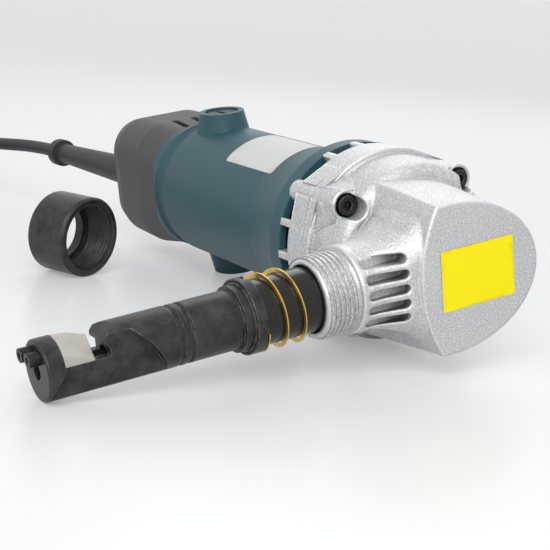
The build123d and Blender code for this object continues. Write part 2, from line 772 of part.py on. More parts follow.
with BuildPart() as cord_clamp:
    with BuildSketch(across(rear_x + 22, exit_d - 5.6)):
        RectangleRounded(4, 24, 1.5)
    extrude(amount=8)
pieces["cord_clamp"] = cord_clamp.part

# Everything so far goes into the resting pose
resting = Location((0, 0, floor_drop)) * Rotation(tilt, 0, 0)
placed = {name: resting * solid for name, solid in pieces.items()}

# Lock nut standing on the floor beside the tool
nut_radius = 16.3
nut_length = 20.0
nut_lip = 4.0
nut_spot = (-152.0, -61.0)
nut_turn = radians(21.6)
nut_bore = nose_radius + 0.15
nut_lip_bore = flange_radius - 0.8
nut_mouth = Plane(
    origin=(nut_spot[0], nut_spot[1], nut_radius),
    x_dir=(sin(nut_turn), -cos(nut_turn), 0),
    z_dir=(-cos(nut_turn), -sin(nut_turn), 0),
)
with BuildPart() as lock_nut:
    with BuildSketch(nut_mouth):
        Circle(nut_radius)
        Circle(nut_lip_bore, mode=Mode.SUBTRACT)
    extrude(amount=nut_length)
    chamfer(lock_nut.edges().filter_by(GeomType.CIRCLE).group_by(SortBy.RADIUS)[-1], 1.0)
    with BuildSketch(nut_mouth):
        Circle(nut_bore)
    extrude(amount=nut_length - nut_lip, mode=Mode.SUBTRACT)
placed["lock_nut"] = lock_nut.part

# The object's box without its cord decides the origin
box = Compound(children=[Compound(solid.wrapped) for solid in placed.values()]).bounding_box()
centre_x = (box.min.X + box.max.X) / 2
centre_y = (box.min.Y + box.max.Y) / 2
lift = -box.min.Z
to_origin = Location((-centre_x, -centre_y, lift))
placed = {name: to_origin * solid for name, solid in placed.items()}

# Cord from the guard to the put-away coil, in the final frame
guard_end_tool = guard_start + guard_way * (guard_length + 1)
guard_end = (to_origin * resting * Location(guard_end_tool)).position
guard_heading = guard_way.rotate(Axis.X, tilt)
coil_x = guard_end.X - 116
coil_y = guard_end.Y - 62
coil_pitch = cord_diameter + 0.9
coil_inner = 26.0
layer_half_turns = 5
reversal_step = 1.9
coil_tail = 36.0
coil_base = 4.8
layers = 4
coil_outer = coil_inner + (layer_half_turns - 1 + reversal_step) * coil_pitch / 2
coil_start = Vector(coil_x, coil_y + coil_outer, coil_base + (layers - 1) * coil_pitch)
cord_route = [
    guard_end,
    guard_end + guard_heading * 24 + Vector(0, 0, -0.2),
    guard_end + Vector(-49, -11.0, -2.6),
    coil_start + Vector(37, 0, 0),
    coil_start + Vector(cord_diameter, 0, 0),
]


def corner_radii(points):
    """Largest arcs that the runs of a route leave room for."""
    radii = []
    for before, corner, after in zip(points, points[1:], points[2:]):
        turn = (corner - before).get_angle(after - corner)
        shorter = min((corner - before).length, (after - corner).length)
        radii.append(0.45 * shorter / tan(radians(turn / 2)))
    return radii


radii = corner_radii(cord_route)
print("cord radii", [round(r) for r in radii])
with BuildPart() as cord:
    with BuildLine() as cord_path:
        FilletPolyline(*cord_route, radius=radii)
    with BuildSketch(Plane(origin=cord_path.wire() @ 0, z_dir=cord_path.wire() % 0)):
        Circle(cord_radius)
    sweep(path=cord_path.wire())
print("cord volume ratio", round(cord.part.volume / (pi * cord_radius**2 * cord_path.wire().length), 4))
placed["cord"] = cord.part


def coil_reaches():
    """Distance from the coil's middle, and layer, at each half turn: in, down a layer, out, and again."""
    reach = coil_outer
    found = [(reach, layers - 1)]
    for layer in reversed(range(layers)):
        way = -1 if layer % 2 == 1 else 1
        for half_turn in range(layer_half_turns):
            reach += way * coil_pitch / 2 * (reversal_step if half_turn == 0 else 1)
            climbs = half_turn == layer_half_turns - 1 and layer > 0
            found.append((reach, layer - 1 if climbs else layer))
    return found[:-1]


# Coil: half turns that spiral in and out through four layers, each one a tangent semicircle
with BuildPart() as cord_coil:
    with BuildLine() as coil_path:
        spot = coil_start
        Line(spot + Vector(cord_diameter, 0, 0), spot)
        reaches = coil_reaches()
        for index, (reach, layer) in enumerate(reaches[1:], start=1):
            way = 1 if index % 2 == 1 else -1
            next_spot = Vector(coil_x, coil_y - way * reach, coil_base + layer * coil_pitch)
            middle = (spot + next_spot) / 2 + Vector(-way * (next_spot - spot).length / 2, 0, 0)
            ThreePointArc(spot, middle, next_spot)
            spot = next_spot
        coil_end = spot + Vector(way * coil_tail, 0, 0)
        Line(spot, coil_end)
    with BuildSketch(Plane(origin=coil_path.wire() @ 0, z_dir=coil_path.wire() % 0)):
        Circle(cord_radius)
    sweep(path=coil_path.wire())
placed["cord_coil"] = cord_coil.part

# Least gap of the coil to itself, on points along its middle line
samples = [coil_path.wire() @ (i / 1500) for i in range(1501)]
step_length = coil_path.wire().length / 1500
skip = int(3 * cord_diameter / step_length)
least = min(
    (samples[i] - samples[j]).length
    for i in range(0, len(samples), 3)
    for j in range(i + skip, len(samples))
)
print("coil gap", round(least - cord_diameter, 2))
print("coil length", round(coil_path.wire().length), "cord length", round(cord_path.wire().length))

# Tie round the coil and the plug lying beside it
tie_wall = 1.2
tie_low = coil_base - cord_radius - 0.2
tie_high = coil_base + (layers - 1) * coil_pitch + cord_radius + 0.2
tie_in = coil_inner - cord_radius - 0.6
tie_out = coil_outer + cord_radius + 0.6
with BuildPart() as coil_tie:
    with BuildSketch(Plane(origin=(coil_x, coil_y - 5, 0), x_dir=(1, 0, 0), z_dir=(0, 1, 0))):
        with Locations(((tie_in + tie_out) / 2, -(tie_low + tie_high) / 2)):
            RectangleRounded(tie_out - tie_in + 2 * tie_wall, tie_high - tie_low + 2 * tie_wall, 3)
            RectangleRounded(tie_out - tie_in, tie_high - tie_low, 2, mode=Mode.SUBTRACT)
    extrude(amount=10)
placed["coil_tie"] = coil_tie.part

plug_half = 6.9
plug_width = 35.0
plug_way = (coil_end - spot).normalized()
plug_base = Vector(coil_end.X, coil_end.Y, plug_half)


def plug_plane(along):
    """Plane square to the plug's length, local axes across the plug and up."""
    return Plane(origin=plug_base + plug_way * along, x_dir=(0, 1, 0), z_dir=plug_way)


with BuildPart() as plug:
    with BuildSketch(Plane(origin=coil_end, z_dir=plug_way)):
        Circle(4.6)
    extrude(amount=13)
    with BuildSketch(plug_plane(12)):
        RectangleRounded(16, 2 * plug_half, 4)
    with BuildSketch(plug_plane(34)):
        RectangleRounded(plug_width, 2 * plug_half, 4)
    loft()
    with BuildSketch(plug_plane(34)):
        RectangleRounded(plug_width, 2 * plug_half, 4)
    extrude(amount=4)
    with BuildSketch(plug_plane(38)):
        with Locations((9.5, 0), (-9.5, 0)):
            Circle(2.0)
    extrude(amount=19)
placed["plug"] = plug.part

for name, solid in placed.items():
    solid.label = name
    export_step(solid, f"parts/{name}.step")

whole = Compound(children=[Compound(solid.wrapped) for solid in placed.values()]).bounding_box()
print("tilt", round(tilt, 3), "object", box.size, "whole", whole.size)
print("origin shift", centre_x, centre_y, lift)
print("cord route", [tuple(round(v, 2) for v in point) for point in cord_route])
print("coil middle", round(coil_x, 2), round(coil_y, 2), "end", coil_end)
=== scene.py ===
import json
from math import cos, pi, radians, sin, sqrt, tau

import bpy
from mathutils import Matrix, Vector


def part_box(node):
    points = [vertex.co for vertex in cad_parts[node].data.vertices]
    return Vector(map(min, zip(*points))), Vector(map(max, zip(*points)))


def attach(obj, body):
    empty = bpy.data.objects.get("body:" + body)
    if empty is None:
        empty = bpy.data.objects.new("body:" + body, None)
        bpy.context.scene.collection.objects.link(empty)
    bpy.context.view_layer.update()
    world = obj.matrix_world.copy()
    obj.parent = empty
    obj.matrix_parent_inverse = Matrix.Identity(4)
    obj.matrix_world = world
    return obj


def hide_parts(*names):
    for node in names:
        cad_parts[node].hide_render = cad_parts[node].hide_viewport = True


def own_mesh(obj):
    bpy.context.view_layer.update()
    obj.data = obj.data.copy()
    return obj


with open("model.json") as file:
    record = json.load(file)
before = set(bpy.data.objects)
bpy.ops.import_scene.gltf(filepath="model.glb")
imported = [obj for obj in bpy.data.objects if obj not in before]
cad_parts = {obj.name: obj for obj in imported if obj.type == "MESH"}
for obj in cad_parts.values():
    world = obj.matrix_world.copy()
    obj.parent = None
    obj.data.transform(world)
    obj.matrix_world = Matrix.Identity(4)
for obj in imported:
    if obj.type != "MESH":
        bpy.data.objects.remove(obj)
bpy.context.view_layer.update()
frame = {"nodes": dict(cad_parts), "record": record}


# Motor housing: an aluminium casting sprayed with teal enamel, which dries to a fine orange peel.
# It carries stator and brushes, and four screws from the gear head hold it. Edges are rubbed lighter; slots
# and corners are painted dark as shade.
class Flow:
    """A socket in a finish, so that shader maths is written as plain arithmetic."""

    def __init__(self, tree, socket=None):
        self.tree = tree
        self.socket = socket

    def node(self, kind, settings=None, sockets=None, output=0):
        """Adds a node: its settings first, then the values or links of its sockets."""
        made = self.tree.nodes.new("ShaderNode" + kind)
        for name, setting in (settings or {}).items():
            setattr(made, name, setting)
        for name, value in (sockets or {}).items():
            if isinstance(value, Flow):
                self.tree.links.new(value.socket, made.inputs[name])
            else:
                made.inputs[name].default_value = value
        return Flow(self.tree, made.outputs[output])

    def other(self, output):
        """Another output of the node that this socket belongs to."""
        return Flow(self.tree, self.socket.node.outputs[output])

    def maths(self, operation, first, second):
        """A Math node on two values."""
        return self.node("Math", {"operation": operation}, {0: first, 1: second})

    def __add__(self, other):
        return self.maths("ADD", self, other)

    __radd__ = __add__

    def __sub__(self, other):
        return self.maths("SUBTRACT", self, other)

    def __rsub__(self, other):
        return self.maths("SUBTRACT", other, self)

    def __mul__(self, other):
        return self.maths("MULTIPLY", self, other)

    __rmul__ = __mul__

    def __gt__(self, other):
        return self.maths("GREATER_THAN", self, other)

    def between(self, low, high):
        """0 at low and below, 1 at high and above, smooth between them."""
        settings = {"interpolation_type": "SMOOTHSTEP"}
        return self.node("MapRange", settings, {"Value": self, "From Min": low, "From Max": high})

    def colour(self, low, high):
        """Blends two colours by this value."""
        share, first, second, blend = 0, 6, 7, 2
        return self.node("Mix", {"data_type": "RGBA"}, {share: self, first: low, second: high}, output=blend)


def tint(red, green, blue):
    """A colour read off a screen, 0 to 255, as the shader wants it."""
    parts = [part / 255 for part in (red, green, blue)]
    return (*[part / 12.92 if part <= 0.04045 else ((part + 0.055) / 1.055) ** 2.4 for part in parts], 1)


def new_finish(name):
    """Starts a finish: its material, the root that makes nodes, and the place on the piece in metres."""
    material = bpy.data.materials.new(name)
    material.use_nodes = True
    root = Flow(material.node_tree)
    return material, root, root.node("TexCoord", output="Object")


def noise(root, place, grain, detail=2.0, roughness=0.5):
    """Cloudy value around 0.5 whose grain is given in metres."""
    sockets = {"Vector": place, "Scale": 1 / grain, "Detail": detail, "Roughness": roughness}
    return root.node("TexNoise", {}, sockets)


def dot(root, first, second):
    """How far one vector reaches along another."""
    return root.node("VectorMath", {"operation": "DOT_PRODUCT"}, {0: first, 1: second}, output="Value")


def soft_edges(root, radius, samples=4):
    """The normal with sharp edges rounded off to a radius in metres."""
    return root.node("Bevel", {"samples": samples}, {"Radius": radius})


def edge_mask(root, rounded):
    """1 on the edges, where the rounded normal leans away from the flat one."""
    flat = root.node("NewGeometry", output="Normal")
    return (1 - dot(root, rounded, flat)).between(0.01, 0.16)


def crannies(root, reach):
    """1 deep in a slot or a corner, 0 on open ground; reach is how far off the other wall may be."""
    return 1 - root.node("AmbientOcclusion", {"samples": 6}, {"Distance": reach}, output="AO")


def relief(root, height, depth, normal=None):
    """Bump of a given depth in metres, over a normal where one is given."""
    sockets = {"Height": height, "Distance": depth, "Strength": 1.0}
    if normal is not None:
        sockets["Normal"] = normal
    return root.node("Bump", {}, sockets)


def set_surface(material, sockets):
    """Sets or links the sockets of a finish's own shader."""
    shader = material.node_tree.nodes["Principled BSDF"]
    for name, value in sockets.items():
        if isinstance(value, Flow):
            material.node_tree.links.new(value.socket, shader.inputs[name])
        else:
            shader.inputs[name].default_value = value


def dress(material, *nodes):
    """Gives a finish to CAD nodes."""
    for name in nodes:
        for slot in frame["nodes"][name].material_slots:
            slot.material = material


enamel, root, place = new_finish("teal_enamel")
rounded = soft_edges(root, radius=0.0008)
clouds = noise(root, place, grain=0.02)
peel = noise(root, place, grain=0.0011, detail=1)
rub = noise(root, place, grain=0.004, detail=4).between(0.42, 0.66) * edge_mask(root, rounded) * 0.5
teal = clouds.colour(tint(48, 82, 91), tint(58, 92, 101))
rubbed_teal = rub.colour(teal, tint(112, 135, 141))
# Painted shade: the enamel is coloured nearly black deep in slots and corners, where shade falls.
slot_shade = crannies(root, reach=0.007).between(0.45, 0.85)
set_surface(enamel, {
    "Base Color": slot_shade.colour(rubbed_teal, tint(16, 20, 22)),
    "Roughness": 0.38 + 0.12 * clouds,
    "Specular IOR Level": 0.28,
    "Normal": relief(root, peel, depth=0.00006, normal=rounded),
})
dress(enamel, "motor_housing")

# Rating plate: a plain white vinyl label, stuck round the barrel beside the upper brush boss.
# It is punched with round corners; the vinyl has a faint pebble and a little dirt along its edge.
punch_low, punch_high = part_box("punch")
core_low, core_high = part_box("armature_core")
joints = {joint["name"]: joint for joint in frame["record"]["behaviour"]["joints"]}
die_way = Vector(joints["holder_draw"]["axis"])
side_way = Vector((0, die_way.z, -die_way.y))
tool_middle = (core_low + core_high) / 2
tool_middle.x = (punch_low.x + punch_high.x) / 2


def in_tool(x, d, n):
    """A place in millimetres: x along the motor, d along the die, n towards the upper side."""
    return tool_middle + Vector((x / 1000, 0, 0)) + die_way * (d / 1000) + side_way * (n / 1000)


def new_piece(name, places, faces, material):
    """Puts a mesh of one finish into the scene."""
    mesh = bpy.data.meshes.new(name)
    mesh.from_pydata(places, [], faces)
    mesh.materials.append(material)
    piece = bpy.data.objects.new(name, mesh)
    bpy.context.scene.collection.objects.link(piece)
    return piece


def vinyl_sheet(name, width, height, corner, lay, material):
    """A thin sheet with round corners; lay puts a spot of the flat sheet on the piece that carries it."""
    columns, rows = 40, 28
    row_shares = [(1 - cos(pi * row / rows)) / 2 for row in range(rows + 1)]
    places = []
    for share in row_shares:
        v = -height / 2 + height * share
        beyond = max(0, abs(v) - (height / 2 - corner))
        half = width / 2 - corner + sqrt(max(0, corner**2 - beyond**2))
        for column in range(columns + 1):
            places.append(lay(half * (2 * column / columns - 1), v))
    faces = []
    for row in range(rows):
        for column in range(columns):
            first = row * (columns + 1) + column
            faces.append((first, first + 1, first + columns + 2, first + columns + 1))
    plate = new_piece(name, places, faces, material)
    plate.data.shade_smooth()
    uvs = plate.data.uv_layers.new(name="sheet")
    for loop in plate.data.loops:
        row, column = divmod(loop.vertex_index, columns + 1)
        uvs.data[loop.index].uv = (column / columns, row_shares[row])
    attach(plate, "housing")


def shaded(colour, by):
    """A colour made darker or lighter."""
    return (*[min(1, part * by) for part in colour[:3]], 1)


def vinyl(name, colour, dirt):
    """Plain vinyl: pebbled, a little darker near its edge."""
    material, root, place = new_finish(name)
    across = root.node("SeparateXYZ", {}, {0: root.node("TexCoord", output="UV")})
    along = across.other("Y")
    inside = (4 * across * (1 - across)) * (4 * along * (1 - along))
    clouds = noise(root, place, grain=0.006, detail=4)
    wear = (1 - inside.between(0.0, 0.22)) * clouds.between(0.35, 0.7)
    pebble = noise(root, place, grain=0.0006)
    set_surface(material, {
        "Base Color": wear.colour(clouds.colour(colour, shaded(colour, by=0.96)), dirt),
        "Roughness": 0.36 + 0.14 * clouds,
        "Specular IOR Level": 0.2,
        "Normal": relief(root, pebble, depth=0.00002),
    })
    return material


plate_start, plate_end = -115.5, -79.5
plate_from, plate_to = radians(-12.5), radians(40)
plate_corner = 1.6
plate_lift = 0.12
barrel_radius = 27.6
well_outside = 45
housing = frame["nodes"]["motor_housing"]


def on_barrel(u, v):
    """A spot of the flat label, rolled onto the barrel and just clear of it."""
    x = (plate_start + plate_end) / 2 + u
    angle = (plate_from + plate_to) / 2 + v / barrel_radius
    outer = in_tool(x, well_outside * sin(angle), well_outside * cos(angle))
    inward = in_tool(x, 0, 0) - outer
    _, spot, normal, _ = housing.ray_cast(outer, inward)
    return spot + normal * (plate_lift / 1000)


plate_width = plate_end - plate_start
plate_height = (plate_to - plate_from) * barrel_radius
white_vinyl = vinyl("white_vinyl", tint(220, 222, 220), dirt=tint(198, 200, 198))
vinyl_sheet("rating_plate", plate_width, plate_height, plate_corner, on_barrel, white_vinyl)

# Stator: a stack of punched steel sheets pressed into the housing, with two wound coils in its slots.
# The sheets show as fine lines round the stack; the coils are lacquered copper wire.
def bands(root, place, direction, scale, distortion):
    """Parallel light and dark bands across a direction."""
    sockets = {"Vector": place, "Scale": scale, "Distortion": distortion}
    return root.node("TexWave", {"bands_direction": direction}, sockets, output="Fac")


stack_metal, root, place = new_finish("stacked_sheets")
lines = bands(root, place, "X", scale=320, distortion=0.2)
set_surface(stack_metal, {
    "Base Color": lines.colour(tint(92, 92, 96), tint(132, 132, 136)),
    "Metallic": 0.9,
    "Roughness": 0.42,
    "Normal": relief(root, lines, depth=0.00005),
})
dress(stack_metal, "stator_core", "armature_core")

copper, root, place = new_finish("lacquered_copper")
strands = bands(root, place, "Y", scale=260, distortion=1.2)
set_surface(copper, {
    "Base Color": strands.colour(tint(120, 58, 30), tint(190, 108, 62)),
    "Metallic": 0.8,
    "Roughness": 0.34,
    "Normal": relief(root, strands, depth=0.00012),
})
dress(copper, "stator_windings", "armature_windings")

# Armature: steel shaft with the pinion cut on its front end, commutator and moulded fan.
# The shaft is ground, the commutator has copper bars with mica between them, the fan is glass-filled nylon.
ground_steel, root, place = new_finish("ground_steel")
rounded = soft_edges(root, radius=0.0004)
scratches = noise(root, place, grain=0.0005, detail=5)
smears = noise(root, place, grain=0.009, detail=3)
set_surface(ground_steel, {
    "Base Color": smears.colour(tint(168, 166, 160), tint(196, 194, 188)),
    "Metallic": 1.0,
    "Roughness": 0.24 + 0.2 * smears,
    "Normal": relief(root, scratches, depth=0.00001, normal=rounded),
})
dress(ground_steel, "armature_shaft")

bars, root, place = new_finish("commutator_bars")
mica = bands(root, place, "Z", scale=120, distortion=0.0)
set_surface(bars, {
    "Base Color": mica.between(0.1, 0.25).colour(tint(40, 30, 24), tint(196, 120, 78)),
    "Metallic": 0.9,
    "Roughness": 0.28,
})
dress(bars, "commutator")


def pebbles(root, place, grain):
    """Round grains side by side, their size given in metres."""
    return root.node("TexVoronoi", {}, {"Vector": place, "Scale": 1 / grain})


def moulded(name, dark, light, grain, depth):
    """Moulded plastic with the fine grain of an eroded tool, paler along its edges."""
    material, root, place = new_finish(name)
    rounded = soft_edges(root, radius=0.0007)
    edge = edge_mask(root, rounded)
    clouds = noise(root, place, grain=0.012, detail=3)
    set_surface(material, {
        "Base Color": (edge * 0.3).colour(clouds.colour(dark, light), shaded(light, by=2.2)),
        "Roughness": 0.5 + 0.16 * clouds,
        "Normal": relief(root, pebbles(root, place, grain), depth, normal=rounded),
    })
    return material


dark_plastic = moulded("dark_plastic", tint(36, 36, 38), tint(48, 48, 50), grain=0.0006, depth=0.00004)
dress(dark_plastic, "fan")

# Bearings: ground steel rings pressed into bearing plate, housing and gear housing.
# They are bright where the shaft runs and carry a film of grease.
dress(ground_steel, "front_bearing", "rear_bearing", "crank_bearing")

# Brushes: carbon blocks that slide in pressed brass holders under screwed caps, one above and one below.
# The caps are black phenolic with a slot for a coin.
brass, root, place = new_finish("pressed_brass")
tarnish = noise(root, place, grain=0.005, detail=4)
set_surface(brass, {
    "Base Color": tarnish.colour(tint(196, 158, 86), tint(150, 112, 58)),
    "Metallic": 1.0,
    "Roughness": 0.3 + 0.2 * tarnish,
})
dress(brass, "brush_holders")

carbon, root, place = new_finish("pressed_carbon")
dust = noise(root, place, grain=0.0005, detail=3)
set_surface(carbon, {
    "Base Color": dust.colour(tint(34, 34, 35), tint(58, 58, 60)),
    "Roughness": 0.7,
    "Normal": relief(root, dust, depth=0.00005),
})
dress(carbon, "carbon_brushes")

phenolic = moulded("black_phenolic", tint(38, 46, 49), tint(50, 60, 64), grain=0.0009, depth=0.00002)
dress(phenolic, "brush_caps")

# Switch: a moulded body behind the motor, a pressed steel rod, and a ribbed slider on the housing.
# The slider snaps into its slot and carries the rod with it.
dress(dark_plastic, "switch_body", "switch_slider")
dress(ground_steel, "switch_rod")

# Rear cover: a box moulded in dark grey nylon with rounded edges, over switch and cord clamp.
# It pushes onto the squared end of the motor housing and has two short air slots.
cover_plastic = moulded("cover_plastic", tint(66, 66, 68), tint(80, 80, 82), grain=0.0007, depth=0.00006)
dress(cover_plastic, "rear_cover")

# Bearing plate and gear housing: sand-cast aluminium, grainy and pale, tumbled bright along its edges, with
# painted shade in slots and corners.
# The plate's fins let the motor's air out; nose and collar of the gear housing are turned.
def from_middle(root, place):
    """The way from the tool's middle to a place."""
    return root.node("VectorMath", {"operation": "SUBTRACT"}, {0: place, 1: tuple(tool_middle)})


def along_the_die(root, place):
    """How far along the die's axis a place is, in metres."""
    return dot(root, from_middle(root, place), tuple(die_way))


def lathe_marks(root, along, per_metre, detail):
    """Fine rings round the die's axis, as a lathe leaves them."""
    sockets = {"W": along * per_metre, "Scale": 1.0, "Detail": detail}
    return root.node("TexNoise", {"noise_dimensions": "1D"}, sockets)


cast, root, place = new_finish("sand_cast_aluminium")
rounded = soft_edges(root, radius=0.0018, samples=8)
edge = edge_mask(root, rounded)
grains = pebbles(root, place, grain=0.0008)
pits = noise(root, place, grain=0.0006, detail=3, roughness=0.6)
# Painted shade: deep in slots and corners the colour goes dark grey, where shade falls.
crevice_shade = crannies(root, reach=0.006).between(0.3, 0.85) * 0.75
clouds = noise(root, place, grain=0.018, detail=3)
along_die = along_the_die(root, place)
collar_start, collar_edge = 0.0385, 0.0392
turned = along_die.between(collar_start, collar_edge)
rings = lathe_marks(root, along_die, per_metre=9000, detail=2.0)
grey = clouds.colour(tint(186, 187, 188), tint(206, 207, 208))
hollows = (1 - pits.between(0.3, 0.52)) * 0.26 * (1 - turned)
pitted = hollows.colour(grey, tint(128, 129, 130))
speckled = (pits.between(0.45, 0.68) * 0.6).colour(pitted, tint(238, 239, 240))
tumbled = (edge * 0.7).colour(speckled, tint(234, 235, 236))
sand = (pits * 0.6 + grains * 0.4) * (1 - turned) + rings * turned * 0.15
set_surface(cast, {
    "Base Color": crevice_shade.colour(tumbled, tint(62, 62, 64)),
    "Metallic": 0.85,
    "Roughness": 0.5 - 0.14 * edge - 0.14 * turned + 0.12 * pits,
    "Normal": relief(root, sand, depth=0.00028, normal=rounded),
})
dress(cast, "bearing_plate", "gear_housing")

# Ears: the webs that run from the screw lugs into the round flange of plate and gear housing.
# They are part of the same two castings, with the parting line between them left open.
screw_d, screw_n = 23.6, 20.9
lugs = [Vector((d, n)) for d in (-screw_d, screw_d) for n in (-screw_n, screw_n)]
lug_radius = 5.25
lug_inset = 0.65


def leaning(lug, degrees):
    """The direction from the tool's middle to a lug, turned by an angle."""
    along = lug.normalized()
    aside = Vector((along.y, -along.x))
    return along * cos(radians(degrees)) - aside * sin(radians(degrees))


# Each run is a stretch of a casting: x, the flange's radius, and the angles of a web at flange and at lug.
casting_runs = [
    [(-44.5, 34.15, 22.5, 22.5), (-35.65, 34.15, 22.5, 22.5)],
    [(-35.35, 34.35, 22.5, 22.5), (-31.1, 34.35, 22.5, 22.5)],
    [(-31.1, 32.4, 25, 25), (-27.5, 32.0, 20, 28), (-24.2, 31.7, 16, 32), (-21.05, 31.4, 13, 35)],
]
web_corners = 3
ear_places, ear_faces = [], []
for run in casting_runs:
    for lug in lugs:
        for way in (1, -1):
            first = len(ear_places)
            for x, flange, swing, lean in run:
                web = (
                    lug + leaning(lug, way * lean) * lug_radius,
                    leaning(lug, way * swing) * flange,
                    lug + leaning(lug, way * 90) * (lug_radius - lug_inset),
                )
                ear_places += [in_tool(x, *spot) for spot in web]
            last = len(ear_places) - web_corners
            for row in range(first, last, web_corners):
                next_row = row + web_corners
                for side in range(web_corners):
                    following = (side + 1) % web_corners
                    ear_faces.append((row + side, row + following, next_row + following, next_row + side))
            ear_faces.append((first, first + 1, first + 2))
            ear_faces.append((last, last + 2, last + 1))
ears = new_piece("flange_ears", ear_places, ear_faces, cast)
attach(ears, "housing")

# Nose thread: the lock nut's thread, cut on the turned nose in nearly six turns.
# It is bare aluminium with bright crests, its roots painted darker as shade.
thread_pitch = 0.00175
thread_sink, thread_height = 0.0001, 0.0005
nose_radius = 0.0132


def thread_ridge(name, middle, axis, start, length, foot, crest, material, body):
    """One helical ridge round an axis; the crest runs out into the foot at both ends."""
    axis = axis.normalized()
    one_way = axis.orthogonal().normalized()
    other_way = axis.cross(one_way)
    steps_per_turn, run_out_steps = 72, 24
    steps = int(length / thread_pitch * steps_per_turn)
    profile = ((-0.46, 0), (-0.12, 1), (0.12, 1), (0.46, 0))
    corners = len(profile)
    places, faces = [], []
    for step in range(steps + 1):
        turns = step / steps_per_turn
        outward = one_way * cos(tau * turns) + other_way * sin(tau * turns)
        run_out = min(1, step / run_out_steps, (steps - step) / run_out_steps)
        for along, rise in profile:
            radius = foot + (crest - foot) * rise * run_out
            places.append(middle + axis * (start + thread_pitch * (turns + along)) + outward * radius)
    for step in range(steps):
        for side in range(corners - 1):
            here = corners * step + side
            faces.append((here, here + corners, here + corners + 1, here + 1))
    ridge = new_piece(name, places, faces, material)
    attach(ridge, body)


turned_aluminium, root, place = new_finish("turned_aluminium")
clouds = noise(root, place, grain=0.004, detail=4)
burrs = noise(root, place, grain=0.0009, detail=4, roughness=0.6)
sockets = {0: from_middle(root, place), 1: tuple(die_way)}
off_axis = root.node("VectorMath", {"operation": "CROSS_PRODUCT"}, sockets)
radius = root.node("VectorMath", {"operation": "LENGTH"}, {0: off_axis}, output="Value")
# Painted shade: the colour goes darker towards the thread's roots, near the nose's own radius.
shade_deepest, shade_end = nose_radius + 0.0001, nose_radius + 0.0004
root_shade = (1 - radius.between(shade_deepest, shade_end)) * 0.55
crests = clouds.colour(tint(200, 201, 202), tint(226, 227, 228))
bare = burrs.between(0.38, 0.66).colour(tint(172, 173, 174), crests)
set_surface(turned_aluminium, {
    "Base Color": root_shade.colour(bare, tint(96, 96, 98)),
    "Metallic": 0.9,
    "Roughness": 0.34 + 0.2 * clouds,
    "Normal": relief(root, burrs, depth=0.00007),
})
thread_ridge(
    "nose_thread", in_tool(0, 0, 0), die_way, start=0.0434, length=0.0102,
    foot=nose_radius - thread_sink, crest=nose_radius + thread_height,
    material=turned_aluminium, body="housing",
)

# Front plate: a plain yellow vinyl label, stuck to the flat front of the gear housing.
# It is punched with slightly rounded corners.
front_width, front_height, front_corner = 29.4, 20.4, 0.7
front_shift = -0.6
front_x = (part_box("gear_housing")[1].x - tool_middle.x) * 1000


def on_front(u, v):
    """A spot of the flat label, just clear of the gear housing's front."""
    return in_tool(front_x + plate_lift, front_shift - u, v)


yellow_vinyl = vinyl("yellow_vinyl", tint(255, 238, 8), dirt=tint(240, 216, 14))
vinyl_sheet("front_plate", front_width, front_height, front_corner, on_front, yellow_vinyl)

# Head screws: four socket screws that draw gear housing and bearing plate onto the motor housing.
# They are steel with a black oxide skin, worn bright on their rims.
def blackened(name, dark, light, bare, roughness, polished_to=0.0):
    """Steel under black oxide, rubbed off along its edges; up to a place along the die it is polished."""
    material, root, place = new_finish(name)
    rounded = soft_edges(root, radius=0.0006, samples=6)
    clouds = noise(root, place, grain=0.006, detail=6, roughness=0.65).between(0.25, 0.75)
    rubbed = noise(root, place, grain=0.0022, detail=5).between(0.36, 0.62)
    along_die = along_the_die(root, place)
    marks = lathe_marks(root, along_die, per_metre=6000, detail=3.0)
    bright = edge_mask(root, rounded) * rubbed * 0.6
    polish_edge = 0.0002
    polished = 1 - along_die.between(polished_to, polished_to + polish_edge)
    turned = marks.between(0.4, 0.7).colour(tint(10, 10, 11), tint(52, 51, 49))
    set_surface(material, {
        "Base Color": bright.colour(polished.colour(clouds.colour(dark, light), turned), bare),
        "Metallic": 0.35 + 0.6 * bright - 0.35 * polished,
        "Roughness": roughness + 0.16 * clouds - 0.1 * bright - 0.26 * polished,
        "Specular IOR Level": 0.3,
        "Normal": relief(root, marks * 0.3, depth=0.00004, normal=rounded),
    })
    return material


screw_black = blackened(
    "black_screw", tint(30, 30, 32), tint(44, 44, 46), bare=tint(128, 126, 122), roughness=0.32,
)
dress(screw_black, "head_screws")

# Crank drive: a hobbed steel gear on the crankshaft, which runs in a ball bearing and a bronze bush.
# A hardened roller on the crank's pin drives the ram.
dress(ground_steel, "crankshaft", "drive_gear", "crank_roller")
bronze, root, place = new_finish("sintered_bronze")
pores = noise(root, place, grain=0.0005, detail=3)
set_surface(bronze, {
    "Base Color": pores.colour(tint(126, 92, 52), tint(172, 134, 82)),
    "Metallic": 0.9,
    "Roughness": 0.42,
    "Normal": relief(root, pores, depth=0.00003),
})
dress(bronze, "crank_bush", "guide_bush")

# Ram and punch: a ground plunger with a yoke round the crank's roller, and the punch pinned into its end.
# The ram slides in the bronze guide bush.
dress(ground_steel, "ram", "punch")

# Die holder and index ring: each turned and milled from a bar of tool steel, then blackened.
# The ring holds the holder in one of four directions; its edges are rubbed bright by use.
polished_shank_end = 0.0754
holder_black = blackened(
    "black_holder", tint(34, 34, 36), tint(66, 66, 66), bare=tint(140, 137, 132), roughness=0.3,
    polished_to=polished_shank_end,
)
dress(holder_black, "die_holder", "index_ring")

# Die: hardened tool steel, ground to two facets over the cutting hole, held by two black screws.
# It is the only bright piece on the holder.
die_steel, root, place = new_finish("die_steel")
rounded = soft_edges(root, radius=0.0005)
smears = noise(root, place, grain=0.004, detail=4)
scratches = bands(root, place, "DIAGONAL", scale=900, distortion=3.0)
set_surface(die_steel, {
    "Base Color": smears.colour(tint(172, 168, 160), tint(206, 202, 194)),
    "Metallic": 0.95,
    "Roughness": 0.3 + 0.16 * smears,
    "Normal": relief(root, scratches, depth=0.000008, normal=rounded),
})
dress(die_steel, "die")
dress(screw_black, "die_screws")

